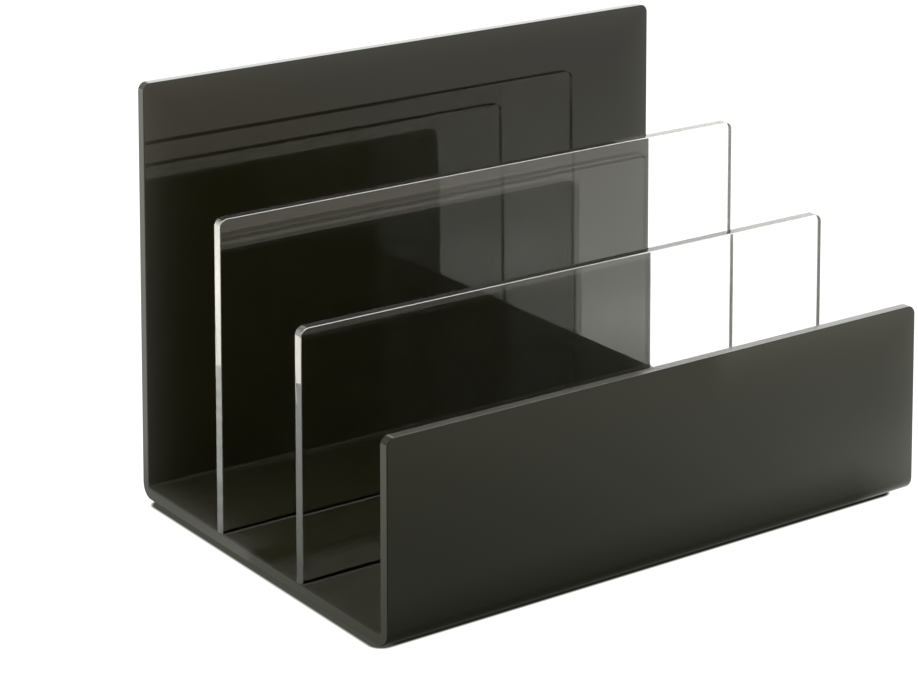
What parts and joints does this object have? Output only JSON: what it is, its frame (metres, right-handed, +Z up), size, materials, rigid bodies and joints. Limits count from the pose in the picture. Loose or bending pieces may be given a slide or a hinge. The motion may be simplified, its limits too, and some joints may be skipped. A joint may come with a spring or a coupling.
{
  "type": "desktop file sorter",
  "caption": "Stepped desktop file sorter: bent glossy black sheet with a tall back and a low front, and clear upright dividers between them.",
  "frame": {"origin": "middle of the footprint, on the desk surface that the bumpers stand on", "axes": "+X along the panels, +Y from the low front to the tall back, +Z up"},
  "size_m": [0.254, 0.178, 0.1715],
  "materials": {
    "body": "polished opaque black acrylic sheet, heat-bent, with polished edges",
    "divider": "clear cast acrylic sheet with polished edges",
    "foot": "matte self-adhesive bumper"
  },
  "bodies": {
    "root": {"body": "body", "front_divider": "divider", "rear_divider": "divider", "foot_front_left": "foot", "foot_front_right": "foot", "foot_rear_left": "foot", "foot_rear_right": "foot"}
  },
  "joints": []
}
